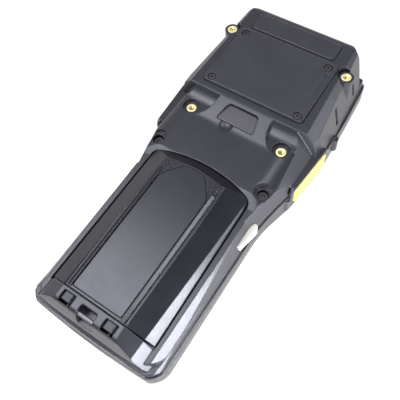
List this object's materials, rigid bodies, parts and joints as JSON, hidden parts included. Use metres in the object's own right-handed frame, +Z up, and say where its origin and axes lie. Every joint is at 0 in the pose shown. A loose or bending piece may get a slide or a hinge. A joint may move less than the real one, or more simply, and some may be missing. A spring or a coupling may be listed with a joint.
{
  "type": "portable barcode data terminal",
  "caption": "Handheld barcode data terminal lying face down, with a hinged battery lid, side triggers, a head cover and a front keypad and screen.",
  "frame": {"origin": "middle of the bounding box, at the rim of the front face it lies on", "axes": "+X across the case to the right seen from the back, +Y from the tail to the head, +Z up out of the back"},
  "size_m": [0.0984, 0.222, 0.0411],
  "materials": {
    "case_front": "fine satin black plastic",
    "case_back": "fine satin charcoal plastic",
    "lid_plastic": "fine satin charcoal plastic",
    "pad_plastic": "finely grained charcoal plastic",
    "cover_plastic": "finely grained charcoal plastic",
    "seal_rubber": "black seal rubber",
    "window": "hard coated clear panel over a dark screen",
    "display": "dark glass face",
    "board": "green board",
    "scan_red": "deep red clear plastic",
    "engine": "black moulding",
    "brass": "turned brass",
    "steel": "zinc plated steel",
    "black_steel": "black coated steel",
    "battery": "black battery case",
    "contacts": "gold plated contacts",
    "cap": "grey moulding",
    "connector": "black connector",
    "module_can": "tinned can",
    "latch_plastic": "black plastic",
    "trigger_yellow": "yellow plastic",
    "side_grey": "light grey plastic",
    "key_dark": "dark keypad rubber",
    "key_red": "red keypad rubber",
    "key_green": "green keypad rubber",
    "key_yellow": "yellow keypad rubber"
  },
  "bodies": {
    "case": {"front_housing": "case_front", "rear_housing": "case_back", "housing_seal": "seal_rubber", "touch_window": "window", "display_module": "display", "keypad_board": "board", "main_board": "board", "head_cover": "cover_plastic", "head_cover_seal": "seal_rubber", "head_cover_screws": "black_steel", "end_panel": "cover_plastic", "scan_window": "scan_red", "scan_engine": "engine", "brass_inserts": "brass", "waist_screws": "black_steel", "bay_screws": "steel", "battery_pack": "battery", "battery_contacts": "contacts", "strap_bar": "steel", "anchor_cap": "cap", "dock_connector": "connector", "speaker": "engine", "radio_module": "module_can", "latch_springs": "steel"},
    "battery_lid": {"battery_lid": "lid_plastic", "lid_pad": "pad_plastic", "lid_seal": "seal_rubber"},
    "latch_left": {"latch_left": "latch_plastic"},
    "latch_right": {"latch_right": "latch_plastic"},
    "scan_trigger_left": {"scan_trigger_left": "trigger_yellow"},
    "scan_trigger_right": {"scan_trigger_right": "trigger_yellow"},
    "side_key_left": {"side_key_left": "side_grey"},
    "side_key_right": {"side_key_right": "side_grey"},
    "nav_pad": {"nav_pad": "key_dark"},
    "power_key": {"power_key": "key_red"},
    "front_scan_key": {"front_scan_key": "key_yellow"},
    "soft_key_left": {"soft_key_left": "key_dark"},
    "soft_key_right": {"soft_key_right": "key_dark"},
    "escape_key": {"escape_key": "key_red"},
    "enter_key": {"enter_key": "key_green"},
    "tab_key": {"tab_key": "key_dark"},
    "backspace_key": {"backspace_key": "key_dark"},
    "key_0": {"key_0": "key_dark"},
    "key_1": {"key_1": "key_dark"},
    "key_2": {"key_2": "key_dark"},
    "key_3": {"key_3": "key_dark"},
    "key_4": {"key_4": "key_dark"},
    "key_5": {"key_5": "key_dark"},
    "key_6": {"key_6": "key_dark"},
    "key_7": {"key_7": "key_dark"},
    "key_8": {"key_8": "key_dark"},
    "key_9": {"key_9": "key_dark"},
    "key_point": {"key_point": "key_dark"},
    "key_sign": {"key_sign": "key_dark"}
  },
  "joints": [
    {"name": "lid_hinge", "type": "hinge", "parent": "case", "child": "battery_lid", "pos_m": [0, -0.0038, 0.0279], "axis": [-1, 0, 0], "range_deg": [0, 55]},
    {"name": "latch_left_slide", "type": "slide", "parent": "case", "child": "latch_left", "axis": [0, -1, 0], "range_m": [0, 0.0012], "stiffness_N_per_m": 900, "deforming": ["latch_springs"]},
    {"name": "latch_right_slide", "type": "slide", "parent": "case", "child": "latch_right", "axis": [0, -1, 0], "range_m": [0, 0.0012], "stiffness_N_per_m": 900},
    {"name": "scan_trigger_left_press", "type": "slide", "parent": "case", "child": "scan_trigger_left", "axis": [1, 0, 0], "range_m": [0, 0.0006], "stiffness_N_per_m": 900},
    {"name": "scan_trigger_right_press", "type": "slide", "parent": "case", "child": "scan_trigger_right", "axis": [-1, 0, 0], "range_m": [0, 0.0006], "stiffness_N_per_m": 900},
    {"name": "side_key_left_press", "type": "slide", "parent": "case", "child": "side_key_left", "axis": [1, 0, 0], "range_m": [0, 0.0009], "stiffness_N_per_m": 900},
    {"name": "side_key_right_press", "type": "slide", "parent": "case", "child": "side_key_right", "axis": [-1, 0, 0], "range_m": [0, 0.0009], "stiffness_N_per_m": 900},
    {"name": "nav_pad_press", "type": "slide", "parent": "case", "child": "nav_pad", "axis": [0, 0, 1], "range_m": [0, 0.0008], "stiffness_N_per_m": 800},
    {"name": "power_key_press", "type": "slide", "parent": "case", "child": "power_key", "axis": [0, 0, 1], "range_m": [0, 0.0008], "stiffness_N_per_m": 800},
    {"name": "front_scan_key_press", "type": "slide", "parent": "case", "child": "front_scan_key", "axis": [0, 0, 1], "range_m": [0, 0.0008], "stiffness_N_per_m": 800},
    {"name": "soft_key_left_press", "type": "slide", "parent": "case", "child": "soft_key_left", "axis": [0, 0, 1], "range_m": [0, 0.0008], "stiffness_N_per_m": 800},
    {"name": "soft_key_right_press", "type": "slide", "parent": "case", "child": "soft_key_right", "axis": [0, 0, 1], "range_m": [0, 0.0008], "stiffness_N_per_m": 800},
    {"name": "escape_key_press", "type": "slide", "parent": "case", "child": "escape_key", "axis": [0, 0, 1], "range_m": [0, 0.0008], "stiffness_N_per_m": 800},
    {"name": "enter_key_press", "type": "slide", "parent": "case", "child": "enter_key", "axis": [0, 0, 1], "range_m": [0, 0.0008], "stiffness_N_per_m": 800},
    {"name": "tab_key_press", "type": "slide", "parent": "case", "child": "tab_key", "axis": [0, 0, 1], "range_m": [0, 0.0008], "stiffness_N_per_m": 800},
    {"name": "backspace_key_press", "type": "slide", "parent": "case", "child": "backspace_key", "axis": [0, 0, 1], "range_m": [0, 0.0008], "stiffness_N_per_m": 800},
    {"name": "key_0_press", "type": "slide", "parent": "case", "child": "key_0", "axis": [0, 0, 1], "range_m": [0, 0.0008], "stiffness_N_per_m": 800},
    {"name": "key_1_press", "type": "slide", "parent": "case", "child": "key_1", "axis": [0, 0, 1], "range_m": [0, 0.0008], "stiffness_N_per_m": 800},
    {"name": "key_2_press", "type": "slide", "parent": "case", "child": "key_2", "axis": [0, 0, 1], "range_m": [0, 0.0008], "stiffness_N_per_m": 800},
    {"name": "key_3_press", "type": "slide", "parent": "case", "child": "key_3", "axis": [0, 0, 1], "range_m": [0, 0.0008], "stiffness_N_per_m": 800},
    {"name": "key_4_press", "type": "slide", "parent": "case", "child": "key_4", "axis": [0, 0, 1], "range_m": [0, 0.0008], "stiffness_N_per_m": 800},
    {"name": "key_5_press", "type": "slide", "parent": "case", "child": "key_5", "axis": [0, 0, 1], "range_m": [0, 0.0008], "stiffness_N_per_m": 800},
    {"name": "key_6_press", "type": "slide", "parent": "case", "child": "key_6", "axis": [0, 0, 1], "range_m": [0, 0.0008], "stiffness_N_per_m": 800},
    {"name": "key_7_press", "type": "slide", "parent": "case", "child": "key_7", "axis": [0, 0, 1], "range_m": [0, 0.0008], "stiffness_N_per_m": 800},
    {"name": "key_8_press", "type": "slide", "parent": "case", "child": "key_8", "axis": [0, 0, 1], "range_m": [0, 0.0008], "stiffness_N_per_m": 800},
    {"name": "key_9_press", "type": "slide", "parent": "case", "child": "key_9", "axis": [0, 0, 1], "range_m": [0, 0.0008], "stiffness_N_per_m": 800},
    {"name": "key_point_press", "type": "slide", "parent": "case", "child": "key_point", "axis": [0, 0, 1], "range_m": [0, 0.0008], "stiffness_N_per_m": 800},
    {"name": "key_sign_press", "type": "slide", "parent": "case", "child": "key_sign", "axis": [0, 0, 1], "range_m": [0, 0.0008], "stiffness_N_per_m": 800}
  ]
}
